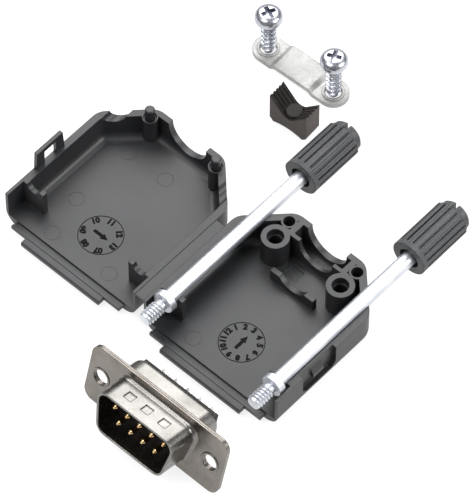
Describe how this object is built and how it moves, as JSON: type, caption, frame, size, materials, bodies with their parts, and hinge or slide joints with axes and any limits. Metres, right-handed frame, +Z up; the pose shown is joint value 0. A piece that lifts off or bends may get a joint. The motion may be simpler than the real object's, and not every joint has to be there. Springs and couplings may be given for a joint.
{
  "type": "d-sub connector kit",
  "caption": "Hinged plastic cable hood laid open with long thumbscrews, a male solder-cup d-sub plug and a screw-down cable clamp, for ending a cable in a screw-locked plug.",
  "frame": {"origin": "on the underside of the hood's base half, mid-width, at the middle of the slot that takes the plug's flange", "axes": "+X across the hood towards its latch side, +Y towards the cable exit and the knobs, +Z up; the plug mates towards -Y"},
  "size_m": [0.0653, 0.0836, 0.0123],
  "materials": {
    "black_plastic": "black glass-filled nylon, finely grained",
    "knob_plastic": "dark grey moulded plastic",
    "bright_steel": "bright zinc plate on turned steel",
    "tin_plate": "bright tin plate on drawn steel",
    "insulator_black": "black thermoplastic",
    "gold_plate": "gold plate on brass",
    "zinc_strip": "zinc-plated sheet steel",
    "dark_brown_plastic": "brownish black plastic"
  },
  "bodies": {
    "base": {"hood_base": "black_plastic", "hinge_film": "black_plastic", "connector_front_shell": "tin_plate", "connector_rear_shell": "tin_plate", "insulator_front": "insulator_black", "insulator_rear": "insulator_black", "contact_1": "gold_plate", "contact_2": "gold_plate", "contact_3": "gold_plate", "contact_4": "gold_plate", "contact_5": "gold_plate", "contact_6": "gold_plate", "contact_7": "gold_plate", "contact_8": "gold_plate", "contact_9": "gold_plate", "clamp_bar": "zinc_strip", "clamp_screw_left": "bright_steel", "clamp_screw_right": "bright_steel", "cable_saddle": "dark_brown_plastic"},
    "lid": {"hood_lid": "black_plastic"},
    "thumbscrew_left": {"thumbscrew_left_shaft": "bright_steel", "thumbscrew_left_knob": "knob_plastic"},
    "thumbscrew_right": {"thumbscrew_right_shaft": "bright_steel", "thumbscrew_right_knob": "knob_plastic"}
  },
  "joints": [
    {"name": "lid_hinge", "type": "hinge", "parent": "base", "child": "lid", "pos_m": [-0.0164, 0, 0.00785], "axis": [0, 1, 0], "range_deg": [0, 180], "deforming": ["hinge_film"]},
    {"name": "thumbscrew_left_spin", "type": "hinge", "parent": "base", "child": "thumbscrew_left", "pos_m": [-0.01249, 0, 0.00785], "axis": [0, 1, 0], "continuous": true},
    {"name": "thumbscrew_right_spin", "type": "hinge", "parent": "base", "child": "thumbscrew_right", "pos_m": [0.01249, 0, 0.00785], "axis": [0, 1, 0], "continuous": true}
  ]
}
